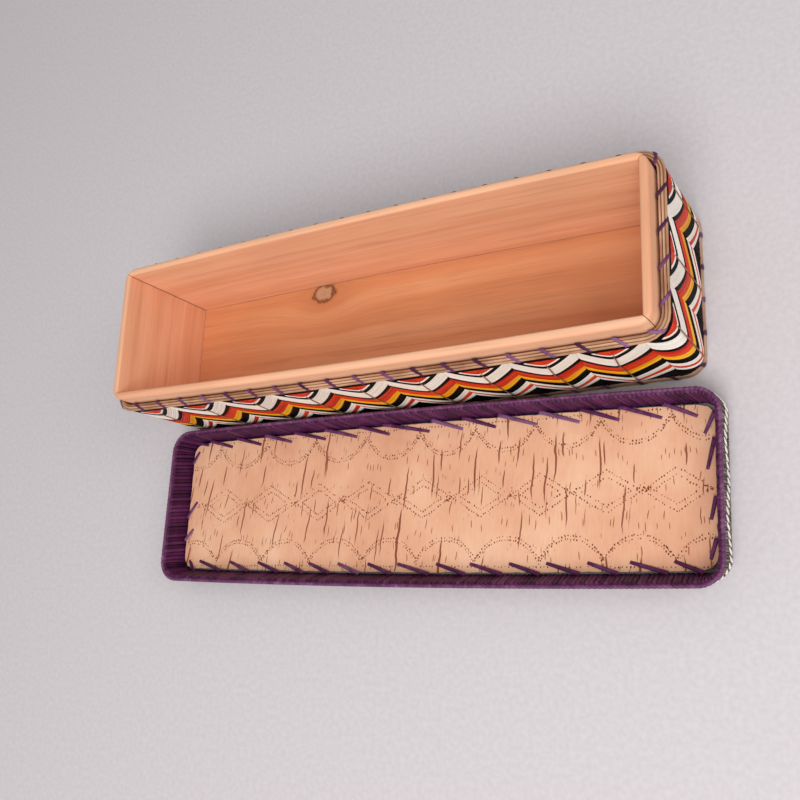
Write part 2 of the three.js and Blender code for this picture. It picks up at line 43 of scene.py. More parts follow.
UP = Vector((0, 0, 1))

# Sizes of the box in millimetres, the same as in the CAD part.
LINER_HALF_LENGTH = 150.0
LINER_HALF_WIDTH = 38.0
LINER_HEIGHT = 73.8
LINER_RADIUS = 7.0
BOARD = 4.1
MITRE_GAP = 0.3
BOX_BOW = 1.4
COVER_FACE = 4.0
COVER_TOP = 61.4
COVER_BOTTOM = 6.3
HOOP_TOP = 65.6
HOOP_BOTTOM = 62.6
HOOP_INNER = 1.2
STRAND = 0.9
STRAND_GAP = 0.3
HOOP_OUTER = HOOP_INNER + 3 * STRAND + 2 * STRAND_GAP
FOOT_INNER = 1.1
FOOT_OUTER = 2.7
FOOT_BOTTOM = 0.9
FOOT_TOP = 5.2
PEAKS_ON_FRONT = [-0.785, -0.557, -0.326, -0.106, 0.115, 0.332, 0.546, 0.755, 0.951]
PEAKS_ROUND_THE_REST = 15

# The dressed hoop's outer strands start above its CAD underside, and the quills end below them.
HOOP_UNDERSIDE = 63.8
QUILL_TOP = COVER_TOP + 2.0
QUILL_BOTTOM = COVER_BOTTOM - 0.4

# Sizes of the lid, and where it lies.
LID_HALF_LENGTH = 159.8
LID_HALF_WIDTH = 44.4
LID_RADIUS = 13.0
LID_BOW = 1.6
LID_HEIGHT = 18.0
LID_LEAN = 4.2
WRAP_TOP = 16.2
PANEL_TOP = 4.3
PANEL_INSET = 6.1
PANEL_RADIUS = 7.0
LID_TURN = -0.018
LID_X = 2.2
LID_Y = -89.9264


class Plan:
    """A rounded rectangle seen from above, walked anticlockwise from the left end of the front side.

    Its long sides bow out by side_bow at mid length. Round a corner, distances are those of an arc
    that lies measured_at outside it.
    """

    def __init__(self, half_length, half_width, radius, side_bow, measured_at=0.0):
        side_x = half_length - radius
        side_y = half_width - radius
        quarter = math.pi / 2
        arc = quarter * (radius + measured_at)
        self.radius = radius
        self.front_start = -side_x
        self.legs = [
            (2 * side_x, (-side_x, -half_width), (1, 0), side_bow),
            (arc, (side_x, -side_y), -quarter, 0),
            (2 * side_y, (half_length, -side_y), (0, 1), 0),
            (arc, (side_x, side_y), 0.0, 0),
            (2 * side_x, (side_x, half_width), (-1, 0), side_bow),
            (arc, (-side_x, side_y), quarter, 0),
            (2 * side_y, (-half_length, side_y), (0, -1), 0),
            (arc, (-side_x, -side_y), 2 * quarter, 0),
        ]
        self.length = sum(leg[0] for leg in self.legs)

    def at(self, distance):
        """The point and the way out at a distance along the plan."""
        left = distance % self.length
        for run, start, along, bow in self.legs:
            if left <= run:
                break
            left -= run
        if isinstance(along, float):
            angle = along + left / run * math.pi / 2
            out = Vector((math.cos(angle), math.sin(angle), 0))
            return Vector((start[0], start[1], 0)) + self.radius * out, out
        out = Vector((along[1], -along[0], 0))
        share = 2 * left / run - 1
        point = Vector((start[0] + along[0] * left, start[1] + along[1] * left, 0))
        return point + out * bow * (1 - share * share), out

    def place(self, distance, offset, height):
        """The point at a distance along the plan, set out from it and up."""
        point, out = self.at(distance)
        return Vector((point.x + out.x * offset, point.y + out.y * offset, height))


box_plan = Plan(LINER_HALF_LENGTH, LINER_HALF_WIDTH, LINER_RADIUS, BOX_BOW, COVER_FACE)
lid_plan = Plan(LID_HALF_LENGTH, LID_HALF_WIDTH, LID_RADIUS, LID_BOW)


def lean_in(out, height):
    """How far the lean of the lid wall sets it in: most along the front, nothing along the back."""
    return LID_LEAN * ((1 - out.y) / 2) ** 2 * (1 - height / LID_HEIGHT)


PANEL_SHIFT = lean_in(Vector((0, -1, 0)), PANEL_TOP) / 2
PANEL_HALF_LENGTH = LID_HALF_LENGTH - PANEL_INSET - lean_in(Vector((1, 0, 0)), PANEL_TOP)
PANEL_HALF_WIDTH = LID_HALF_WIDTH - PANEL_INSET - PANEL_SHIFT
lid_matrix = Matrix.Translation((LID_X, LID_Y, 0)) @ Matrix.Rotation(LID_TURN, 4, "Z")


class Shape:
    """Points and faces of one piece, in millimetres, with a tone for each point."""

    def __init__(self):
        self.points = []
        self.faces = []
        self.tones = []

    def tube(self, loops, closed=False, tone=0.5):
        """A closed body through a row of outlines with the same number of corners."""
        first = len(self.points)
        count = len(loops[0])
        for loop in loops:
            self.points.extend(loop)
            self.tones.extend([tone] * count)
        rows = len(loops) if closed else len(loops) - 1
        for i in range(rows):
            here = first + i * count
            there = first + (i + 1) % len(loops) * count
            for j in range(count):
                k = (j + 1) % count
                self.faces.append((here + j, there + j, there + k, here + k))
        if not closed:
            last = first + (len(loops) - 1) * count
            self.faces.append(tuple(range(first + count - 1, first - 1, -1)))
            self.faces.append(tuple(range(last, last + count)))

    def strip(self, surface, alongs, rises, sink, tone=0.5, roll=0.85):
        """A flat root or quill. surface(along, across) gives a point and the way out from it."""
        loops = []
        for along, rise in zip(alongs, rises):
            loop = []
            for across in (-1, -0.5, 0, 0.5, 1):
                point, out = surface(along, across)
                loop.append(point + out * rise * (1 - roll * across ** 4))
            point, out = surface(along, 0)
            loop.append(point - out * sink)
            loops.append(loop)
        self.tube(loops, tone=tone)

    def dome(self, centre, wide, long, height):
        """A small low dome of the given half sizes."""
        first = len(self.points)
        ring = 7
        for reach, up in ((1.0, -0.15), (0.8, 0.6 * height)):
            for i in range(ring):
                angle = 2 * math.pi * i / ring
                step = Vector((wide * math.cos(angle), long * math.sin(angle), 0))
                self.points.append(centre + step * reach + UP * up)
        self.points.append(centre + UP * height)
        self.tones.extend([0.5] * (2 * ring + 1))
        for i in range(ring):
            k = (i + 1) % ring
            self.faces.append((first + i, first + k, first + ring + k, first + ring + i))
            self.faces.append((first + ring + i, first + ring + k, first + 2 * ring))
        self.faces.append(tuple(range(first + ring - 1, first - 1, -1)))

    def build(self, name, material, body, replaced, slot, sharp=40):
        """Makes the piece and lets it ride on its body, in place of the nodes that it replaces."""
        matrix = lid_matrix if body == "lid" else Matrix.Identity(4)
        mesh = bpy.data.meshes.new(name)
        mesh.from_pydata([tuple(matrix @ p * MM) for p in self.points], [], self.faces)
        tone = mesh.attributes.new("tone", "FLOAT", "POINT")
        tone.data.foreach_set("value", self.tones)
        work = bmesh.new()
        work.from_mesh(mesh)
        bmesh.ops.recalc_face_normals(work, faces=work.faces)
        work.to_mesh(mesh)
        work.free()
        mesh.polygons.foreach_set("use_smooth", [True] * len(mesh.polygons))
        mesh.set_sharp_from_angle(angle=math.radians(sharp))
        mesh.materials.append(material)
        piece = bpy.data.objects.new(name, mesh)
        bpy.context.scene.collection.objects.link(piece)
        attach(piece, body)
        if replaced:
            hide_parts(*replaced)


def dress(node, material):
    """Gives a CAD solid that stays in view its material."""
    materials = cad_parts[node].data.materials
    materials.clear()
    materials.append(material)


def rgb(code):
    """A colour written as in a paint program, as the numbers that shaders use."""
    parts = [int(code[i:i + 2], 16) / 255 for i in (0, 2, 4)]
    linear = [p / 12.92 if p <= 0.04045 else ((p + 0.055) / 1.055) ** 2.4 for p in parts]
    return (*linear, 1.0)


class Paint:
    """A material made of nodes. Scales are in features per metre along X, Y and Z."""

    def __init__(self, name, roughness, specular):
        self.material = bpy.data.materials.new(name)
        self.material.use_nodes = True
        self.tree = self.material.node_tree
        self.shader = self.tree.nodes["Principled BSDF"]
        self.shader.inputs["Roughness"].default_value = roughness
        self.shader.inputs["Specular IOR Level"].default_value = specular
        self.place = self.node("TexCoord").outputs["Object"]

    def node(self, kind, inputs=(), **settings):
        node = self.tree.nodes.new("ShaderNode" + kind)
        for key, value in settings.items():
            setattr(node, key, value)
        for key, value in dict(inputs).items():
            if isinstance(value, bpy.types.NodeSocket):
                self.tree.links.new(value, node.inputs[key])
            else:
                node.inputs[key].default_value = value
        return node

    def scaled(self, scale, offset=(0, 0, 0), source=None):
        inputs = {"Vector": source or self.place, "Scale": scale, "Location": offset}
        return self.node("Mapping", inputs).outputs[0]

    def noise(self, scale, detail=3.0, rough=0.55, offset=(0, 0, 0), source=None):
        where = self.scaled(scale, offset, source)
        inputs = {"Vector": where, "Scale": 1.0, "Detail": detail, "Roughness": rough}
        return self.node("TexNoise", inputs).outputs["Fac"]

    def math(self, operation, a, b=0.0, c=0.0):
        return self.node("Math", {0: a, 1: b, 2: c}, operation=operation).outputs[0]

    def both(self, a, share_a, b, share_b):
        """The sum of two values, each times its share."""
        return self.math("MULTIPLY_ADD", a, share_a, self.math("MULTIPLY", b, share_b))

    def vector(self, operation, a, b):
        return self.node("VectorMath", {0: a, 1: b}, operation=operation).outputs[0]

    def parts(self, vector):
        return self.node("SeparateXYZ", {0: vector}).outputs

    def ramp(self, value, stops):
        node = self.node("ValToRGB", {0: value})
        ends = node.color_ramp.elements
        while len(ends) < len(stops):
            ends.new(0.5)
        for end, (place, colour) in zip(ends, stops):
            end.position = place
            end.color = rgb(colour) if isinstance(colour, str) else (colour, colour, colour, 1)
        return node.outputs[0]

    def spread(self, value, start, end, low=0.0, high=1.0):
        """A value between start and end, as one between low and high."""
        return self.node("MapRange", {0: value, 1: start, 2: end, 3: low, 4: high}).outputs[0]

    def mix(self, share, a, b, blend="MIX"):
        inputs = {0: share, 6: a, 7: b}
        return self.node("Mix", inputs, data_type="RGBA", blend_type=blend).outputs[2]

    def shaded(self, colour, share, value, stops):
        """A colour made darker or lighter by a value."""
        return self.mix(share, colour, self.ramp(value, stops), "MULTIPLY")

    def tone(self):
        return self.node("Attribute", attribute_name="tone").outputs["Fac"]

    def colour(self, socket):
        self.tree.links.new(socket, self.shader.inputs["Base Color"])

    def roughness(self, value, low, high):
        self.tree.links.new(self.spread(value, 0.0, 1.0, low, high), self.shader.inputs["Roughness"])

    def bump(self, height, distance, strength):
        inputs = {"Height": height, "Distance": distance * MM, "Strength": strength}
        bump = self.node("Bump", inputs)
        self.tree.links.new(bump.outputs[0], self.shader.inputs["Normal"])


# The knot in the bottom board: its place in metres, how tight it is along X and Y, its swing on the
# grain round it, its halo, and its colours from the heart out.
KNOT = (-0.0565, 0.0298, 0.011)
KNOT_TIGHTNESS = (44, 62, 0)
KNOT_SWING = -1.15
KNOT_HALO = "b8744a"
KNOT_RINGS = [(0.18, "bc9474"), (0.34, "c69a78"), (0.4, "a87654"), (0.45, "74462c"), (0.54, "bf7c50")]


def round_knot(paint, knot):
    """Places as the grain sees them, how near the knot they are, and how far from its heart."""
    away = paint.vector("SUBTRACT", paint.place, knot)
    reach = paint.node("VectorMath", {0: paint.scaled(KNOT_TIGHTNESS, source=away)}, operation="LENGTH")
    reach = reach.outputs["Value"]
    near = paint.math("EXPONENT", paint.math("MULTIPLY", paint.math("MULTIPLY", reach, reach), -1.0))
    swing = paint.math("MULTIPLY", paint.math("MULTIPLY", near, paint.parts(away)[1]), KNOT_SWING)
    push = paint.node("CombineXYZ", {1: swing}).outputs[0]
    return paint.vector("ADD", paint.place, push), near, reach


def knot_colour(paint, colour, near, reach, offset):
    """The knot itself, in its halo."""
    colour = paint.mix(paint.math("MULTIPLY", near, 0.4), colour, rgb(KNOT_HALO))
    heart = paint.math("MULTIPLY_ADD", paint.noise((260, 260, 260), offset=offset), 0.3, reach)
    inside = paint.ramp(heart, [(0.46, 1.0), (0.62, 0.0)])
    return paint.mix(inside, colour, paint.ramp(heart, KNOT_RINGS))


def cedar(name, along, tones, seed, knot=None):
    """Cedar with its grain along X or Y: rings, fibres, blotches and perhaps a knot."""

    def grain(lengthways, across):
        return (lengthways, across, across) if along == "x" else (across, lengthways, across)

    paint = Paint(name, 0.5, 0.3)
    where = paint.place
    if knot:
        where, near, reach = round_knot(paint, knot)
    offset = (seed * 3.1, seed * 1.7, seed * 2.3)
    bend = paint.noise((14, 14, 14), 2.0, 0.55, offset, where)
    wander = paint.math("MULTIPLY", paint.math("SUBTRACT", bend, 0.5), 0.004)
    sideways = 1 if along == "x" else 0
    shift = paint.node("CombineXYZ", {sideways: wander, 2: wander}).outputs[0]
    bent = paint.vector("ADD", where, shift)
    rings = paint.noise(grain(3.5, 130), 3.0, 0.5, offset, bent)
    fine = paint.noise(grain(9, 520), 4.0, 0.6, offset, bent)
    fibre = paint.noise(grain(40, 1700), 2.0, 0.5, offset, where)
    blotch = paint.noise((20, 20, 20), 2.0, 0.5, offset, where)
    pale, middle, deep = tones
    colour = paint.ramp(rings, [(0.25, deep), (0.5, middle), (0.75, pale)])
    colour = paint.shaded(colour, 0.6, fine, [(0.34, 0.8), (0.42, 0.98), (0.7, 1.03)])
    colour = paint.shaded(colour, 0.5, fibre, [(0.3, 0.88), (0.7, 1.08)])
    colour = paint.shaded(colour, 0.5, blotch, [(0.35, 0.92), (0.65, 1.05)])
    if knot:
        colour = knot_colour(paint, colour, near, reach, offset)
    paint.colour(colour)
    paint.roughness(fine, 0.45, 0.62)
    paint.bump(paint.math("MULTIPLY_ADD", fibre, 0.4, fine), 0.12, 0.5)
    return paint.material


def root(name, dark, middle, light, roughness=0.42):
    """Dyed split root: streaks, and each turn a little lighter or darker than the next."""
    paint = Paint(name, roughness, 0.28)
    patch = paint.noise((200, 200, 200), 3.0, 0.6)
    streak = paint.noise((1400, 1400, 900), 2.0, 0.5)
    value = paint.both(patch, 0.55, paint.tone(), 0.45)
    colour = paint.ramp(value, [(0.3, dark), (0.5, middle), (0.72, light)])
    paint.colour(paint.shaded(colour, 0.6, streak, [(0.3, 0.75), (0.7, 1.12)]))
    paint.roughness(streak, roughness - 0.08, roughness + 0.14)
    paint.bump(streak, 0.08, 0.5)
    return paint.material


def quill(name, dark, middle, light, specular):
    """Dyed quill: faint streaks, and no two quills quite alike."""
    paint = Paint(name, 0.42, specular)
    patch = paint.noise((90, 90, 90), 3.0, 0.6)
    value = paint.both(patch, 0.5, paint.tone(), 0.5)
    colour = paint.ramp(value, [(0.25, dark), (0.5, middle), (0.75, light)])
    streak = paint.noise((900, 900, 1500), 2.0, 0.5)
    paint.colour(paint.shaded(colour, 0.25, streak, [(0.3, 0.9), (0.7, 1.05)]))
    paint.roughness(streak, 0.36, 0.54)
    paint.bump(streak, 0.05, 0.4)
    return paint.material


def striped_quill(name, dark, middle, light, specular=0.35):
    """Quills laid side by side across the lid's top face, each 1.8 mm wide, with painted shade in the
    creases between them.
    """
    paint = Paint(name, 0.42, specular)
    wave = paint.math("PINGPONG", paint.parts(paint.place)[0], 0.9 * MM)
    edge = paint.spread(wave, 0.0, 0.3 * MM)
    patch = paint.noise((550, 20, 20), 2.0, 0.5)
    colour = paint.ramp(patch, [(0.35, dark), (0.5, middle), (0.65, light)])
    # Painted shade: the colour darkens to under half towards each quill's edges, where the creases between
    # quills lie.
    paint.colour(paint.shaded(colour, 0.8, edge, [(0.0, 0.45), (1.0, 1.0)]))
    paint.roughness(patch, 0.3, 0.5)
    paint.bump(edge, 0.25, 0.8)
    return paint.material


def splint(name, dark, middle, light):
    """Flat splints and root strands: long fine streaks that follow the hoop."""
    paint = Paint(name, 0.55, 0.3)
    patch = paint.noise((60, 60, 60), 3.0, 0.6)
    streak = paint.noise((30, 30, 1800), 3.0, 0.6)
    value = paint.both(patch, 0.5, streak, 0.5)
    value = paint.math("MULTIPLY_ADD", paint.math("SUBTRACT", paint.tone(), 0.5), 0.35, value)
    paint.colour(paint.ramp(value, [(0.36, dark), (0.5, middle), (0.64, light)]))
    paint.roughness(streak, 0.48, 0.68)
    paint.bump(streak, 0.15, 0.6)
    return paint.material


# Layers of lenticels: cells per metre, offset, share of cells left bare, size, and colour.
LENTICELS = [
    ((165, 6.5, 1), (0.3, 0.7, 0), 0.05, 0.088, "84402c"),
    ((185, 7.5, 1), (4.6, 3.3, 0), 0.05, 0.088, "8c4a34"),
    ((250, 18, 1), (9.1, 4.2, 0), 0.2, 0.085, "87462f"),
    ((480, 60, 1), (5.3, 2.1, 0), 0.4, 0.1, "a9623f"),
]


def birchbark(name):
    """Inner face of birchbark: warm tan, with fine dark lenticels that run across the panel."""
    paint = Paint(name, 0.62, 0.25)
    cloud = paint.noise((30, 22, 30), 4.0, 0.6)
    colour = paint.ramp(cloud, [(0.3, "dda281"), (0.5, "e7b08e"), (0.7, "efc09f")])
    grain = paint.noise((900, 130, 900), 3.0, 0.6)
    colour = paint.shaded(colour, 0.5, grain, [(0.3, 0.9), (0.7, 1.06)])
    height = paint.math("MULTIPLY", grain, 0.3)
    # The lenticels lean more and more from left to right, and waver.
    x, y, _ = paint.parts(paint.place)
    lean = paint.math("MULTIPLY", y, paint.math("MULTIPLY_ADD", x, 0.6, -0.1))
    bend = paint.math("MULTIPLY_ADD", paint.noise((25, 60, 1), 3.0, 0.5), 0.004, lean)
    bent = paint.vector("ADD", paint.place, paint.node("CombineXYZ", {0: bend}).outputs[0])
    for scale, offset, bare, reach, dark in LENTICELS:
        inputs = {"Vector": paint.scaled(scale, offset, bent), "Scale": 1.0, "Randomness": 1.0}
        cells = paint.node("TexVoronoi", inputs, voronoi_dimensions="2D")
        chance = paint.parts(cells.outputs["Color"])
        picked = paint.math("GREATER_THAN", chance[0], bare)
        size = paint.math("MULTIPLY_ADD", chance[1], reach, reach * 0.5)
        ragged = paint.math("MULTIPLY_ADD", paint.noise((900, 900, 1)), 0.02, cells.outputs["Distance"])
        mark = paint.spread(paint.math("SUBTRACT", size, ragged), 0.0, 0.025)
        mark = paint.math("MULTIPLY", mark, picked)
        colour = paint.mix(paint.math("MULTIPLY", mark, 0.95), colour, rgb(dark))
        height = paint.math("MULTIPLY_ADD", mark, -0.7, height)
    paint.colour(colour)
    paint.roughness(grain, 0.55, 0.75)
    paint.bump(height, 0.25, 0.7)
    return paint.material


def pinhole(name, dark, light):
    """Dark ragged bark where a quill's end shows."""
    paint = Paint(name, 0.7, 0.2)
    patch = paint.noise((700, 700, 700), 3.0, 0.6)
    paint.colour(paint.ramp(patch, [(0.35, dark), (0.65, light)]))
    paint.bump(patch, 0.1, 0.5)
    return paint.material


cedar_long = cedar("cedar_long", "x", ("f6c3a1", "efb590", "e5a47e"), 1.0)
cedar_back = cedar("cedar_back", "x", ("f7c19c", "f0b48d", "e5a47c"), 2.0)
cedar_ends = cedar("cedar_ends", "y", ("efbb98", "e6ab86", "da9872"), 3.0)
cedar_floor = cedar("cedar_floor", "x", ("e4a67a", "dd976a", "d28c5e"), 4.0, KNOT)
bark_under = birchbark("bark_under_quills")
bark_panel = birchbark("bark_panel")
pin_holes = pinhole("pin_holes", "64321f", "98573a")
hoop_splint = splint("hoop_splint", "8c5f44", "b68a6a", "d3a888")
# A very dark purple-brown splint under the lid's wall turns, so that the gaps between the turns show dark.
dark_purple_splint = splint("dark_purple_splint", "241019", "341a29", "46283a")
foot_splint = splint("foot_splint", "75503c", "a67c60", "c9a488")
purple_root = root("purple_root", "401036", "5e2452", "84567c")
purple_wrap = root("purple_wrap", "3a0e34", "4f1a49", "662a5b", 0.5)
purple_bead = root("purple_bead", "4c2044", "6a365f", "936489", 0.4)
faded_root = root("faded_root", "3b2c2b", "5f4f4a", "8a7c72", 0.55)
valley_root = root("valley_root", "6b4630", "94684a", "b98e6c", 0.5)
quill_finish = {
    "quill_white": quill("quill_white", "eadfd3", "f1e7dc", "f7efe6", 0.3),
    "quill_black": quill("quill_black", "060505", "0b0908", "15110f", 0.02),
    "quill_red": quill("quill_red", "b8200c", "cf3012", "dd421a", 0.12),
    "quill_yellow": quill("quill_yellow", "dc940a", "eda80f", "f4b824", 0.12),
}

# The liner's boards, with their worn top edges.
CORNER_STEPS = 8
SIDE_STEPS = 24
OUTER_ROUND = 2.0
INNER_ROUND = 1.2
WORN_ABOVE = 60.0
WEAR = 0.12


def board_profile():
    """The outline of a board's end, as depths from its outer face and heights."""
    profile = [(0, 0)]
    for i in range(6):
        angle = math.pi / 2 * i / 5
        height = LINER_HEIGHT - OUTER_ROUND + OUTER_ROUND * math.sin(angle)
        profile.append((OUTER_ROUND * (1 - math.cos(angle)), height))
    for i in range(5):
        angle = math.pi / 2 * i / 4
        depth = BOARD - INNER_ROUND + INNER_ROUND * math.sin(angle)
        profile.append((depth, LINER_HEIGHT - INNER_ROUND + INNER_ROUND * math.cos(angle)))
    profile.append((BOARD, 0))
    return profile


def board_stops(side):
    """Distances along the plan from one mitre of a board to the other."""
    start = sum(leg[0] for leg in box_plan.legs[:2 * side])
    run = box_plan.legs[2 * side][0]
    half_arc = box_plan.legs[1][0] / 2
    past_side = [half_arc * (1 - i / CORNER_STEPS) for i in range(CORNER_STEPS + 1)]
    stops = [start - past for past in past_side]
    stops += [start + run * i / SIDE_STEPS for i in range(1, SIDE_STEPS)]
    stops += [start + run + past for past in reversed(past_side)]
    return stops


def board(side):
    """One mitred board. Sides 0 to 3 are front, right end, back and left end."""
    along = side % 2
    across = 1 - along
    facing = (-1, 1, 1, -1)[side]
    outer = (LINER_HALF_LENGTH, LINER_HALF_WIDTH)
    inner_end = outer[along] - BOARD
    profile = board_profile()
    stops = board_stops(side)
    loops = []
    for index, stop in enumerate(stops):
        point, _ = box_plan.at(stop)
        from_end = min(index, len(stops) - 1 - index)
        bow = abs(point[across]) - outer[across] if from_end > CORNER_STEPS else 0.0
        inner = Vector((0, 0, 0))
        inner[along] = max(-inner_end, min(inner_end, point[along]))
        inner[across] = facing * (outer[across] - BOARD + bow)
        gap = Vector((0, 0, 0))
        if from_end == 0:
            gap[along] = -math.copysign(MITRE_GAP / math.sqrt(2), point[along])
        wear = abs(WEAR * noise.noise(Vector((point.x / 19, point.y / 19, side))))
        loop = []
        for depth, height in profile:
            share = depth / BOARD
            low = wear if height > WORN_ABOVE else 0.0
            loop.append(point * (1 - share) + inner * share + gap + UP * (height - low))
        loops.append(loop)
    shape = Shape()
    shape.tube(loops)
    return shape


for side, (end, material) in enumerate([("front", cedar_long), ("right_end", cedar_ends),
                                        ("back", cedar_back), ("left_end", cedar_ends)]):
    board(side).build("board_" + end, material, "box", ["liner_" + end], "cedar", 50)

dress("liner_bottom", cedar_floor)
dress("bark_cover", bark_under)


def strand(count, inner, outer, bottom, top, seed, wave):
    """Outlines of a long flat strand laid round the box, with rounded edges and a little wander."""
    middle = (inner + outer) / 2
    half = (outer - inner) / 2
    corner = min(half, 0.5)
    loops = []
    for i in range(count):
        stop = box_plan.length * i / count
        point, _ = box_plan.at(stop)
        drift = wave * noise.noise(Vector((point.x / 14, point.y / 14, seed * 7.3)))
        high = top - abs(drift) * 1.4
        near = [(-half, bottom), (-half, high - corner), (-half + 0.3 * corner, high - 0.3 * corner),
                (-0.45 * half, high)]
        profile = near + [(-offset, height) for offset, height in reversed(near)]
        loops.append([box_plan.place(stop, middle + offset, height) for offset, height in profile])
    return loops


# Each strand of the rim hoop: name, drop of its top, its underside, and its tone.
# The inner strand's lower tone is painted shade beside the liner, and the middle strand's higher tone is
# painted light.
RIM_STRANDS = [
    ("inner", 0.0, HOOP_BOTTOM, 0.35),
    ("middle", 0.35, HOOP_UNDERSIDE - 0.2, 0.65),
    ("outer", 0.9, HOOP_UNDERSIDE, 0.5),
]
RIM_STEPS = 260
STRAND_SWELL = 0.12
for i, (name, drop, bottom, tone) in enumerate(RIM_STRANDS):
    inner = HOOP_INNER + i * (STRAND + STRAND_GAP)
    shape = Shape()
    outer = inner + STRAND + STRAND_SWELL
    shape.tube(strand(RIM_STEPS, inner, outer, bottom, HOOP_TOP - drop, i, 0.25), True, tone)
    shape.build("rim_strand_" + name, hoop_splint, "box", ["rim_splint_" + name], "splint")

# The foot hoop, drawn as three thinner strands.
FOOT_STEPS = 220
FOOT_STRAND = 0.5
FOOT_STRAND_PITCH = 0.56
shape = Shape()
for i in range(3):
    inner = FOOT_INNER + i * FOOT_STRAND_PITCH
    top = FOOT_TOP - 0.25 * i
    loops = strand(FOOT_STEPS, inner, inner + FOOT_STRAND, FOOT_BOTTOM, top, 5 + i, 0.35)
    shape.tube(loops, True, 0.35 + 0.15 * i)
shape.build("foot_strands", foot_splint, "box", ["foot_splint"], "splint")

# Each band of quills: name, colour, height of its lower edge in a valley and at a peak, and the
# number of quills across it.
BANDS = [
    ("red_fans", "red", 51.2, 70.0, 4),
    ("white_fine", "white", 49.2, 68.5, 1),
    ("black_upper", "black", 45.3, 65.0, 2),
    ("white_broad", "white", 34.5, 53.5, 5),
    ("black_fine", "black", 31.7, 49.4, 1),
    ("red_broad", "red", 24.3, 41.4, 4),
    ("yellow", "yellow", 19.0, 36.4, 2),
    ("black_broad", "black", 12.8, 30.0, 3),
    ("white_lower", "white", 8.6, 25.2, 2),
    ("red_fine", "red", 6.4, 21.4, 1),
    ("white_last", "white", 4.4, 17.6, 1),
    ("black_fans", "black", -8.0, 4.6, 5),
]
FAN_RISE = 7.0
FAN_TOP = 58.2
EDGE_RISES = [0.65, 1.95, 3.25, 4.5]
EDGE_HALF_WIDTH = 0.65
EDGE_LEFT = 0.68
EDGE_LEFT_GROWS = 0.04
EDGE_RIGHT = 0.63
EDGE_RIGHT_GROWS = 0.047
RIGHT_BEND = 1.5
LEFT_BEND = 1.25
QUILL_FILL = 0.985
QUILL_RISE = 0.55
QUILL_SINK = 0.25
QUILL_ROLL = 0.5
ARM_ALONGS = [0, 0.02, 0.05, 0.12, 0.22, 0.34, 0.46, 0.58, 0.7, 0.82, 0.92, 0.97, 1]
ARM_RISES = [-0.15, 0.3, 0.5] + [QUILL_RISE] * 7 + [0.5, 0.3, -0.15]
SIDEWAYS = -5.0
SIDEWAYS_FROM = 62.0
SIDEWAYS_OVER = 28.0
FADE_IN = 14.0
FADE_OUT = 12.0
FACE_AT_FOOT = 2.6
FACE_SPREAD = 1.4


def zigzag():
    """Each peak round the box, between the valleys to its left and right."""
    peaks = [share * LINER_HALF_LENGTH - box_plan.front_start for share in PEAKS_ON_FRONT]
    last = peaks[-1]
    step = (box_plan.length + peaks[0] - last) / (PEAKS_ROUND_THE_REST + 1)
    peaks += [last + step * (i + 1) for i in range(PEAKS_ROUND_THE_REST)]
    closed = [peaks[-1] - box_plan.length] + peaks + [peaks[0] + box_plan.length]
    return [((a + b) / 2, b, (b + c) / 2) for a, b, c in zip(closed, closed[1:], closed[2:])]


zigzag_turns = zigzag()


def quill_face(height):
    """How far the quills' face stands out from the liner: the cover spreads towards its top."""
    return FACE_AT_FOOT + FACE_SPREAD * height / COVER_TOP


def sideways_at(stop, height):
    """On the front the lower bands sit a little to the left of the upper ones."""
    half = box_plan.length / 2
    place = (stop + half) % box_plan.length - half
    front = box_plan.legs[0][0]
    fade = max(0.0, min(1.0, (place + FADE_IN) / FADE_IN, (front - place) / FADE_OUT))
    return SIDEWAYS * fade * max(0.0, min(1.0, (SIDEWAYS_FROM - height) / SIDEWAYS_OVER))


def quill_bed(stop, height):
    """A point under the quills, and the way out there."""
    point, out = box_plan.at(stop + sideways_at(stop, height))
    return Vector((point.x, point.y, height)) + out * (quill_face(height) - QUILL_RISE), out


def quill_arm(shape, peak, valley, bend, edges, tone, top):
    """One quill from a peak to a valley, as far as it lies between top and the cover's foot.

    edges gives its lower and its upper edge, each by its height in the valley and at the peak.
    """
    (low_valley, low_peak), (high_valley, high_peak) = edges

    def edge(c):
        share = 0.5 + 0.5 * c * QUILL_FILL
        return low_valley + (high_valley - low_valley) * share, low_peak + (high_peak - low_peak) * share

    def share_at(height, at_valley, at_peak):
        value = (height - at_valley) / (at_peak - at_valley)
        return 1 - max(0.0, min(1.0, value)) ** (1 / bend)

    if min(edge(-1)) > top or max(edge(1)) < QUILL_BOTTOM:
        return
    if share_at(top, *edge(-1)) > 0.97 or share_at(QUILL_BOTTOM, *edge(1)) < 0.03:
        return

    def surface(along, c):
        at_valley, at_peak = edge(c)
        first = share_at(top, at_valley, at_peak)
        last = max(share_at(QUILL_BOTTOM, at_valley, at_peak), first + 0.01)
        t = min(1.0, first + (last - first) * along)
        height = at_valley + (at_peak - at_valley) * (1 - t) ** bend
        return quill_bed(peak + (valley - peak) * t, height)

    shape.strip(surface, ARM_ALONGS, ARM_RISES, QUILL_SINK, tone, QUILL_ROLL)


def fan_edge(shape, valley, half_run):
    """A dark strip under the hoop, over the fan in one valley, built from four level strips in the black
    quills' material.
    """
    for rise in EDGE_RISES:
        left = valley - half_run * (EDGE_LEFT + EDGE_LEFT_GROWS * rise)
        right = valley + half_run * (EDGE_RIGHT + EDGE_RIGHT_GROWS * rise)

        def surface(along, c):
            return quill_bed(left + (right - left) * along, FAN_TOP + rise + c * EDGE_HALF_WIDTH)

        shape.strip(surface, ARM_ALONGS, ARM_RISES, QUILL_SINK, 0.5, QUILL_ROLL)


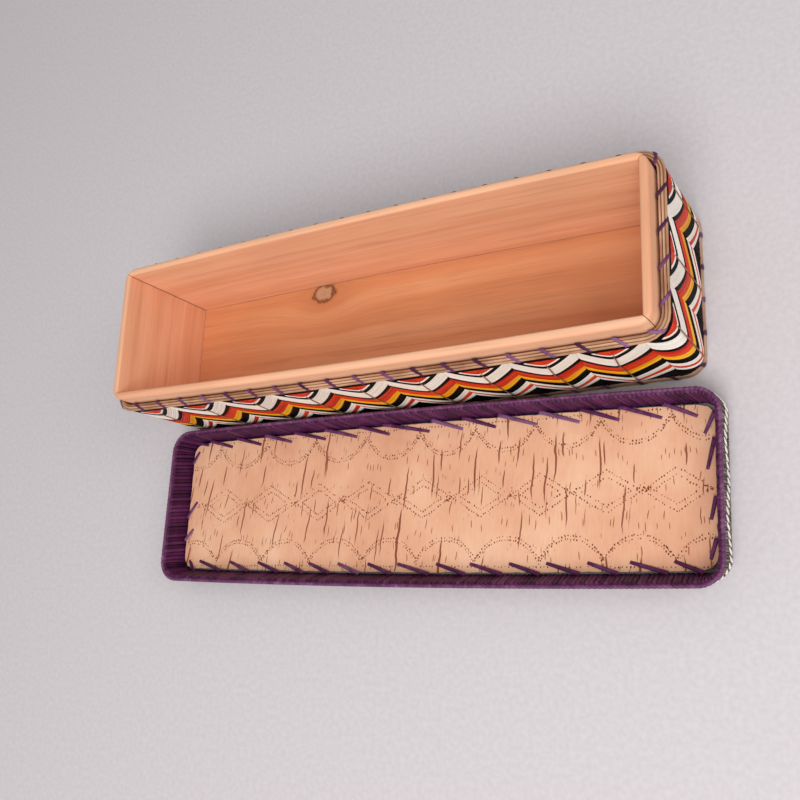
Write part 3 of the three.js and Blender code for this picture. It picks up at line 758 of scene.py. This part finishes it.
def quillwork():
    """The zigzag bands, quill by quill."""
    chance = random.Random(7)
    _, _, valley_low, peak_low, _ = BANDS[0]
    valley_high = valley_low + FAN_RISE
    peak_high = peak_low + FAN_RISE
    for index, (name, colour, valley_low, peak_low, count) in enumerate(BANDS):
        shape = Shape()
        top = FAN_TOP if index < 2 else QUILL_TOP
        for left, peak, right in zigzag_turns:
            for valley, bend in ((right, RIGHT_BEND), (left, LEFT_BEND)):
                for j in range(count):
                    edges = []
                    for share in (j / count, (j + 1) / count):
                        edges.append((valley_low + (valley_high - valley_low) * share,
                                      peak_low + (peak_high - peak_low) * share))
                    quill_arm(shape, peak, valley, bend, edges, chance.random(), top)
            if name == "black_upper":
                fan_edge(shape, right, right - peak)
        slot = "quill_" + colour
        shape.build("quillwork_" + name, quill_finish[slot], "box", ["quills_" + name], slot)
        valley_high, peak_high = valley_low, peak_low


quillwork()

# A fine root runs down the wall at each valley.
ROOT_LOW = QUILL_BOTTOM + 0.5
ROOT_HIGH = QUILL_TOP - 12.9
shape = Shape()
for _, _, valley in zigzag_turns:
    loops = []
    for i in range(15):
        height = ROOT_LOW + (ROOT_HIGH - ROOT_LOW) * i / 14
        wander = 0.25 * noise.noise(Vector((valley, height / 6, 0)))
        point, out = box_plan.at(valley + sideways_at(valley, height) + wander)
        side = UP.cross(out)
        centre = Vector((point.x, point.y, height)) + out * (quill_face(height) - 0.1)
        angles = [2 * math.pi * k / 6 for k in range(6)]
        loops.append([centre + side * 0.32 * math.cos(a) + out * 0.2 * math.sin(a) for a in angles])
    shape.tube(loops)
shape.build("valley_roots", valley_root, "box", [], "splint")

# Root lashing round the two hoops.
LASHINGS = 48
LASH_PITCH = box_plan.length / LASHINGS
LASH_SAMPLES = 5
RIM_LASHING_START = zigzag_turns[0][1] - 6
FOOT_LASHING_START = 4


def smooth_path(corners):
    """A smooth curve through all corners but the first and last."""
    path = []
    for i in range(len(corners) - 3):
        a, b, c, d = (Vector(corners[i + k]) for k in range(4))
        for j in range(LASH_SAMPLES):
            t = j / LASH_SAMPLES
            path.append(0.5 * (2 * b + (c - a) * t + (2 * a - 5 * b + 4 * c - d) * t * t
                               + (3 * b - 3 * c + d - a) * t ** 3))
    path.append(Vector(corners[-2]))
    return path


def lashing(first, bends, width, thickness, core, chance):
    """A flat root wound round a hoop, from the turn that starts at first.

    bends are the corners of one turn, each as run along the hoop, offset and height. core is the
    hoop's middle as offset and height.
    """
    shape = Shape()
    for index in range(LASHINGS):
        start = first + index * LASH_PITCH
        ring = [(start - LASH_PITCH + bends[-1][0], *bends[-1][1:])]
        ring += [(start + run, offset, height) for run, offset, height in bends]
        ring += [(start + LASH_PITCH + run, offset, height) for run, offset, height in bends[:2]]
        loops = []
        for stop, offset, height in smooth_path(ring):
            out = Vector(((offset - core[0]) / 1.8, height - core[1])).normalized()
            loop = []
            for c in (-1, -0.5, 0, 0.5, 1):
                rise = out * thickness * (1 - 0.8 * c ** 4)
                loop.append(box_plan.place(stop + c * width / 2, offset + rise.x, height + rise.y))
            loop.append(box_plan.place(stop, offset - out.x * 0.05, height - out.y * 0.05))
            loops.append(loop)
        shape.tube(loops, tone=chance.random())
    return shape


lash_chance = random.Random(11)
rim_core = ((HOOP_INNER + HOOP_OUTER) / 2, (HOOP_TOP + HOOP_BOTTOM) / 2)
rim_bends = [(0.0, HOOP_INNER - 0.1, HOOP_TOP + 0.05), (2.3, rim_core[0], HOOP_TOP - 0.25),
             (4.6, HOOP_OUTER - 0.35, HOOP_TOP - 1.1), (5.3, HOOP_OUTER + 0.05, HOOP_UNDERSIDE + 0.4),
             (5.9, HOOP_OUTER - 0.1, HOOP_UNDERSIDE - 0.05),
             (LASH_PITCH - 0.6, HOOP_INNER, HOOP_BOTTOM - 0.05)]
shape = lashing(RIM_LASHING_START, rim_bends, 2.5, 0.42, rim_core, lash_chance)
shape.build("rim_stitching", purple_root, "box", ["rim_lashing"], "purple_root")

foot_bends = [(0.0, FOOT_INNER - 0.05, FOOT_TOP + 0.05), (3.0, 2.0, FOOT_TOP + 0.12),
              (6.0, FOOT_OUTER + 0.1, FOOT_TOP - 0.3), (6.7, FOOT_OUTER + 0.25, 3.0),
              (7.5, FOOT_OUTER + 0.1, FOOT_BOTTOM), (LASH_PITCH - 0.6, FOOT_INNER, FOOT_BOTTOM - 0.05)]
shape = lashing(FOOT_LASHING_START, foot_bends, 2.3, 0.45, (2.0, 3.0), lash_chance)
shape.build("foot_stitching", purple_root, "box", ["foot_lashing"], "purple_root")

# Lid wall: close turns of root inside and out, over the splint, and over the rim.
# The corners of their faces are offsets from the lid's outline and heights.
INNER_TURNS = 370
OUTER_TURNS = 600
RIM_TURNS = 330
INSIDE_FOOT = Vector((-4.6, 0.5))
INSIDE_TOP = Vector((-3.4, 16.4))
INSIDE_BINDING = Vector((-2.4, 17.0))
OUTSIDE_FOOT = Vector((-1.35, 0.3))
OUTSIDE_TOP = Vector((-1.35, 0.3 + WRAP_TOP))
UP_THE_WALL = 0.9
dress("lid_wall_splint", dark_purple_splint)


def inside_face(share):
    """Up the inside of the wall, then over the top of its splint to the binding."""
    if share <= UP_THE_WALL:
        return INSIDE_FOOT.lerp(INSIDE_TOP, share / UP_THE_WALL)
    return INSIDE_TOP.lerp(INSIDE_BINDING, (share - UP_THE_WALL) / (1 - UP_THE_WALL))


def outside_face(share):
    """Up the outside of the wall."""
    return OUTSIDE_FOOT.lerp(OUTSIDE_TOP, share)


def wall_turns(count, face, width, slant, seed, inward):
    """Upright turns of root round a face. face(share) gives its offset and height."""
    shape = Shape()
    chance = random.Random(seed)
    pitch = lid_plan.length / count
    for i in range(count):
        start = i * pitch + chance.uniform(-0.08, 0.08) * pitch

        def surface(along, c):
            offset, height = face(along)
            point, out = lid_plan.at(start + slant * along + c * width / 2)
            point = point + out * (offset - lean_in(out, height))
            return Vector((point.x, point.y, height)), -out if inward else out

        shape.strip(surface, [0, 0.1, 0.5, 0.9, 1.0], [0.3, 0.5, 0.5, 0.5, 0.25], 0.3, chance.random())
    return shape


shape = wall_turns(INNER_TURNS, inside_face, 1.92, 3.0, 3, True)
shape.build("lid_inner_turns", purple_wrap, "lid", ["lid_inner_wrap"], "purple_root")
shape = wall_turns(OUTER_TURNS, outside_face, 1.24, -1.5, 4, False)
shape.build("lid_outer_turns", faded_root, "lid", ["lid_outer_wrap"], "faded_root")


def rim_turns():
    """Close turns of root over the lid's rim, in a rounded bead."""
    shape = Shape()
    chance = random.Random(5)
    pitch = lid_plan.length / RIM_TURNS
    for i in range(RIM_TURNS):

        def surface(along, c):
            angle = math.pi * (1.08 - 1.16 * along)
            point, out = lid_plan.at(i * pitch + 1.2 * along + c * pitch * 0.49)
            bead = out * 0.7 * math.cos(angle) + UP * 0.95 * math.sin(angle)
            return Vector((point.x, point.y, LID_HEIGHT - 1.3)) - out * 1.9 + bead, bead.normalized()

        shape.strip(surface, [k / 8 for k in range(9)], [0.28] * 9, 0.2, chance.uniform(0.4, 0.6))
    return shape


rim_turns().build("lid_rim_turns", purple_bead, "lid", ["lid_rim_binding"], "purple_root")

# Pale quills woven through the outside turns, three side by side, in steps up and down.
WEAVE_WAVES = 24
WEAVE_STEP = 3.3
WEAVE_RUN = 2.3
WEAVE_CLIMB = 1.9


def woven_quills():
    """Short slanting quills round the lid's wall."""
    shape = Shape()
    chance = random.Random(6)
    wave = lid_plan.length / WEAVE_WAVES
    stop = 0.0
    while stop < lid_plan.length - WEAVE_STEP / 2:
        share = stop / wave % 1
        base = 3.2 + 6.0 * abs(2 * share - 1)
        for row in range(3):
            low = base + row * 1.5 + chance.uniform(-0.2, 0.2)
            begin = stop + row * 0.35

            def surface(along, c):
                point, out = lid_plan.at(begin + WEAVE_RUN * along)
                height = low + WEAVE_CLIMB * along + c * 0.42
                return Vector((point.x, point.y, height)) + out * (-0.85 - lean_in(out, height)), out

            shape.strip(surface, [0, 0.12, 0.5, 0.88, 1], [0.0, 0.4, 0.5, 0.4, 0.0], 0.15, chance.random())
        stop += WEAVE_STEP
    return shape


shape = woven_quills()
shape.build("lid_woven_quills", quill_finish["quill_white"], "lid", ["lid_side_quills"], "quill_white")

# Lid panel: a sheet of bark that is not quite flat.
PANEL_COLUMNS = 190
PANEL_ROWS = 56
PANEL_THICKNESS = 1.05


def panel_height(x, y):
    soft = noise.noise(Vector((x / 42, y / 30, 3.7)))
    small = noise.noise(Vector((x / 11, y / 16, 9.1)))
    return PANEL_TOP + 0.1 + 0.32 * soft + 0.1 * small


def panel_edge(x):
    """Half width of the panel at a place along it."""
    share = max(-1.0, min(1.0, x / (PANEL_HALF_LENGTH - PANEL_RADIUS)))
    return PANEL_HALF_WIDTH + LID_BOW * (1 - share * share)


def panel_point(u, v):
    """A place on the panel. u and v go from -1 to 1 along it and across it."""
    straight = PANEL_HALF_WIDTH - PANEL_RADIUS
    y = v * PANEL_HALF_WIDTH
    over = max(0.0, abs(y) - straight)
    reach = PANEL_HALF_LENGTH - PANEL_RADIUS + math.sqrt(max(0.0, PANEL_RADIUS ** 2 - over * over))
    x = u * reach
    ragged = abs(0.5 * noise.noise(Vector((x / 5, y / 5, 1.3))))
    y *= panel_edge(x) / PANEL_HALF_WIDTH
    if abs(u) > 0.999:
        x -= math.copysign(ragged, x)
    if abs(v) > 0.999:
        y -= math.copysign(ragged, y)
    return x, y + PANEL_SHIFT


def bark_sheet():
    """The panel's top and underside, joined along their ragged edge."""
    shape = Shape()
    for sunk in (0.0, PANEL_THICKNESS):
        for i in range(PANEL_COLUMNS + 1):
            for j in range(PANEL_ROWS + 1):
                x, y = panel_point(2 * i / PANEL_COLUMNS - 1, 2 * j / PANEL_ROWS - 1)
                shape.points.append(Vector((x, y, panel_height(x, y) - sunk)))
    shape.tones = [0.5] * len(shape.points)
    across = PANEL_ROWS + 1
    layer = (PANEL_COLUMNS + 1) * across
    for i in range(PANEL_COLUMNS):
        for j in range(PANEL_ROWS):
            a = i * across + j
            b, c, d = a + across, a + across + 1, a + 1
            shape.faces.append((a, b, c, d))
            shape.faces.append((layer + d, layer + c, layer + b, layer + a))
    rim = [i * across for i in range(PANEL_COLUMNS + 1)]
    rim += [PANEL_COLUMNS * across + j for j in range(1, across)]
    rim += [i * across + PANEL_ROWS for i in range(PANEL_COLUMNS - 1, -1, -1)]
    rim += list(range(PANEL_ROWS - 1, 0, -1))
    for a, b in zip(rim, rim[1:] + rim[:1]):
        shape.faces.append((b, a, layer + a, layer + b))
    return shape


bark_sheet().build("bark_sheet", bark_panel, "lid", ["lid_panel"], "birchbark", 60)

# Pinholes: the ends of the quills show through the bark as rows of small marks. They follow two rows
# of scallops, given by their cusps along X and by Y at the cusps and at the dips, and a chain of
# diamonds, given by where its diamonds meet.
BACK_CUSPS = [-164.8, -132, -97.6, -63.8, -30, 3.2, 35.2, 67.7, 100.7, 133.7, 166.5]
FRONT_CUSPS = [-161.9, -129.1, -95.5, -63.1, -28.8, 3.8, 36.9, 70.5, 102, 134.8, 167.5]
SCALLOPS = [(BACK_CUSPS, 34.4, 22.2), (FRONT_CUSPS, -30.6, -19.4)]
SCALLOP_PITCH = 1.45
EDGE_ROW_HALF = 152
CHAIN_X = [-142, -109.7, -75.1, -43.2, -10.2, 22.8, 55.3, 86.4, 120.1, 151.3]
CHAIN_Y = 0.6
CHAIN_PITCH = 1.5
DIAMOND_HALF = 10.0
pin_chance = random.Random(21)
pin_shape = Shape()


def pin(x, y, wide=0.42):
    """One pinhole near a place, of a chance size. Some are missing."""
    if abs(x) > PANEL_HALF_LENGTH - 1.5 or abs(y - PANEL_SHIFT) > panel_edge(x) - 1.0:
        return
    x += pin_chance.uniform(-0.25, 0.25)
    y += pin_chance.uniform(-0.3, 0.3)
    size = pin_chance.choice((0.0, 0.55, 0.7, 0.8, 0.9, 1.0, 1.15))
    if size:
        pin_shape.dome(Vector((x, y, panel_height(x, y))), wide * size, 0.55 * size, 0.12)


def row_of_pins(points, spacing):
    """Pinholes evenly spaced along a line through points."""
    place = 0.0
    for (x0, y0), (x1, y1) in zip(points, points[1:]):
        length = math.hypot(x1 - x0, y1 - y0)
        while place < length:
            t = place / length
            pin(x0 + (x1 - x0) * t, y0 + (y1 - y0) * t)
            place += spacing
        place -= length


def scallop_pins(cusps, outer, inner):
    """Two rows along each scallop, one along the panel's edge, and two short ones from each cusp."""
    way = math.copysign(1.0, outer)
    for left, right in zip(cusps, cusps[1:]):
        for depth in (0.0, 1.7):
            arc = []
            for k in range(25):
                t = k / 24
                dip = 1 - abs(2 * t - 1) ** 2.4
                arc.append((left + (right - left) * t, outer + (inner - outer) * dip + way * depth))
            row_of_pins(arc, SCALLOP_PITCH)
    edge_y = outer + way * 3.0
    row_of_pins([(-EDGE_ROW_HALF, edge_y), (EDGE_ROW_HALF, edge_y)], 1.8)
    for cusp in cusps:
        for side in (-1, 1):
            row_of_pins([(cusp, outer - way), (cusp + side * 5, inner + way * 4.5)], 1.9)


def chain_pins():
    """Two rows round each diamond of the chain, and a cluster where two diamonds meet."""
    for left, right in zip(CHAIN_X, CHAIN_X[1:]):
        for side in (-1, 1):
            for inset in (0.0, 3.2):
                first = (left + inset * 1.6, CHAIN_Y)
                tip = ((left + right) / 2, CHAIN_Y + side * (DIAMOND_HALF - inset))
                last = (right - inset * 1.6, CHAIN_Y)
                row_of_pins([first, tip, last], CHAIN_PITCH)
    for x in CHAIN_X:
        for _ in range(14):
            pin(x + pin_chance.gauss(0, 2.2), CHAIN_Y + pin_chance.gauss(0, 1.4), 0.45)


for cusps, outer, inner in SCALLOPS:
    scallop_pins(cusps, outer, inner)
chain_pins()
pin_shape.build("bark_pinholes", pin_holes, "lid", [], "birchbark", 80)

# Root stitches that sew the panel to the wall. Each goes from the gap by the wall, at the first place
# along the panel, to where it enters the bark, at the second, and has a tone.
BACK_STITCHES = [
    (-140, -123.5, 0.5), (-120.1, -102.2, 0.4), (-99.2, -80.3, 0.6), (-78.3, -56.9, 0.5),
    (-57.4, -36.5, 0.7), (-34.5, -15.6, 0.4), (-19.6, 8.8, 0.5), (10.3, 28.2, 0.95), (28.2, 46.6, 0.5),
    (48.1, 68.5, 0.95), (70, 90.4, 0.9), (90.9, 109.8, 0.4), (109.8, 129.7, 0.5), (130.7, 145.6, 0.6),
]
FRONT_STITCHES = [
    (-123.8, -141.4, 0.4), (-103.1, -118.5, 0.5), (-82, -98.1, 0.4), (-65.3, -79.7, 0.5),
    (-48.1, -63.1, 0.5), (-29.4, -44, 0.9), (-9.9, -25.2, 0.4), (12.3, -7.3, 0.5), (32.4, 15.2, 0.4),
    (52.3, 33.9, 0.5), (71.5, 54.9, 0.4), (91.2, 73.9, 0.3), (109.2, 94.1, 0.5), (131.5, 113.9, 0.4),
    (146.8, 133.8, 0.3),
]
# Those at the panel's ends go from one X and Y to another.
END_STITCHES = [
    ((-152.5, 26.1), (-149.1, 33.6), 0.4), ((-152.9, -5.9), (-147.2, 3.6), 0.5),
    ((-152.7, -19.4), (-148.2, -12.4), 0.8), ((-151.1, 39.1), (-142.2, 37.1), 0.4),
    ((-143.2, -37.4), (-149.1, -30.4), 0.4), ((152.9, 22.6), (149.1, 8.6), 0.5),
    ((152.9, -3.4), (150.1, -13.4), 0.4), ((152.7, -21.4), (149.6, -30.4), 0.4),
    ((152.9, 33.6), (148.2, 24.6), 0.7),
]
STITCH_ALONGS = [0, 0.04, 0.12, 0.25, 0.4, 0.55, 0.7, 0.85, 0.94, 0.98, 1]
STITCH_RISES = [0.2, 0.5, 0.65, 0.65, 0.65, 0.65, 0.65, 0.6, 0.45, 0.2, -0.4]
STITCH_HALF_WIDTH = 1.05
# How far in from the panel's edge a stitch enters the bark. The back row drifts in to the right.
FRONT_DEPTH = 4.4
BACK_DEPTH = 4.6
BACK_DRIFT = 0.006


def all_stitches():
    """Every stitch of the panel, by both of its ends and its tone."""
    stitches = list(END_STITCHES)
    for side, row in ((1, BACK_STITCHES), (-1, FRONT_STITCHES)):
        for at_wall, at_bark, tone in row:
            depth = FRONT_DEPTH if side < 0 else BACK_DEPTH + BACK_DRIFT * at_bark
            wall_y = PANEL_SHIFT + side * (panel_edge(at_wall) + 0.9)
            bark_y = PANEL_SHIFT + side * (panel_edge(at_bark) - depth)
            stitches.append(((at_wall, wall_y), (at_bark, bark_y), tone))
    return stitches


shape = Shape()
for (x0, y0), (x1, y1), tone in all_stitches():
    run = Vector((x1 - x0, y1 - y0, 0))
    side = UP.cross(run).normalized()

    def sewn(along, c):
        x = x0 + run.x * along
        y = y0 + run.y * along
        lift = 1.5 * (1 - along) ** 2 + 0.35 * math.sin(math.pi * along)
        wide = STITCH_HALF_WIDTH * (1 - 0.25 * along)
        return Vector((x, y, panel_height(x, y) + lift)) + side * c * wide, UP

    shape.strip(sewn, STITCH_ALONGS, STITCH_RISES, 0.35, tone)
shape.build("panel_stitches", purple_root, "lid", ["lid_panel_stitches"], "purple_root")

# Quillwork on the lid's top face keeps its solids and gets quills drawn across them.
lid_finishes = {
    "lid_quills_scallops": striped_quill("lid_quills_black", "0b090a", "14100e", "201a16", 0.1),
    "lid_quills_field": striped_quill("lid_quills_white", "cfc2b3", "e6dacb", "f4ece2"),
    "lid_quills_diamond_chain": striped_quill("lid_quills_red", "ab2412", "cf3a1c", "e2552f"),
    "lid_quills_diamond": striped_quill("lid_quills_yellow", "c98410", "e3a21d", "f0b93c"),
}
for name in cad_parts:
    if name.startswith("lid_quills"):
        key = max((k for k in lid_finishes if name.startswith(k)), key=len)
        dress(name, lid_finishes[key])

# The studio, in metres and degrees.
TABLE_HALF = 20.0
WORLD_COLOUR = (1, 0.99, 0.98, 1)
WORLD_STRENGTH = 0.46
CAMERA_PLACE = (0.257861, -0.16749, 0.433986)
CAMERA_TURN = (15.847, 31.1375, 2.4016)
CAMERA_LENS = 44.246


def table():
    """A pale table."""
    paint = Paint("table_paper", 0.9, 0.1)
    paper = paint.noise((400, 400, 400), 2.0, 0.5)
    paint.colour(paint.ramp(paper, [(0.3, "cbc5c8"), (0.7, "d3cdd0")]))
    corners = [(x * TABLE_HALF, y * TABLE_HALF, 0) for x, y in ((-1, -1), (1, -1), (1, 1), (-1, 1))]
    mesh = bpy.data.meshes.new("table")
    mesh.from_pydata(corners, [], [(0, 1, 2, 3)])
    mesh.materials.append(paint.material)
    piece = bpy.data.objects.new("table", mesh)
    bpy.context.scene.collection.objects.link(piece)


def lamp(name, place, target, size, power):
    """A rectangular soft light turned to its target."""
    light = bpy.data.lights.new(name, "AREA")
    light.shape = "RECTANGLE"
    light.size, light.size_y = size
    light.energy = power
    piece = bpy.data.objects.new(name, light)
    bpy.context.scene.collection.objects.link(piece)
    piece.location = place
    way = Vector(target) - Vector(place)
    piece.rotation_euler = way.to_track_quat("-Z", "Y").to_euler()


def studio():
    """An even pale surround, a key light and a weaker one from the right."""
    world = bpy.data.worlds.new("studio")
    bpy.context.scene.world = world
    world.use_nodes = True
    background = world.node_tree.nodes["Background"]
    background.inputs["Color"].default_value = WORLD_COLOUR
    background.inputs["Strength"].default_value = WORLD_STRENGTH
    lamp("key", (0.35, -0.85, 1.15), (0, -0.04, 0), (0.8, 0.7), 13.0)
    lamp("side", (0.95, -0.05, 0.8), (0, -0.04, 0.03), (0.6, 0.6), 3.5)
    bpy.context.scene.view_settings.view_transform = "Standard"


def camera():
    """The view from over the right end of the box, down and to the left."""
    data = bpy.data.cameras.new("camera")
    data.sensor_width = 36
    data.lens = CAMERA_LENS
    piece = bpy.data.objects.new("camera", data)
    bpy.context.scene.collection.objects.link(piece)
    piece.location = CAMERA_PLACE
    piece.rotation_euler = [math.radians(angle) for angle in CAMERA_TURN]
    bpy.context.scene.camera = piece


table()
studio()
camera()
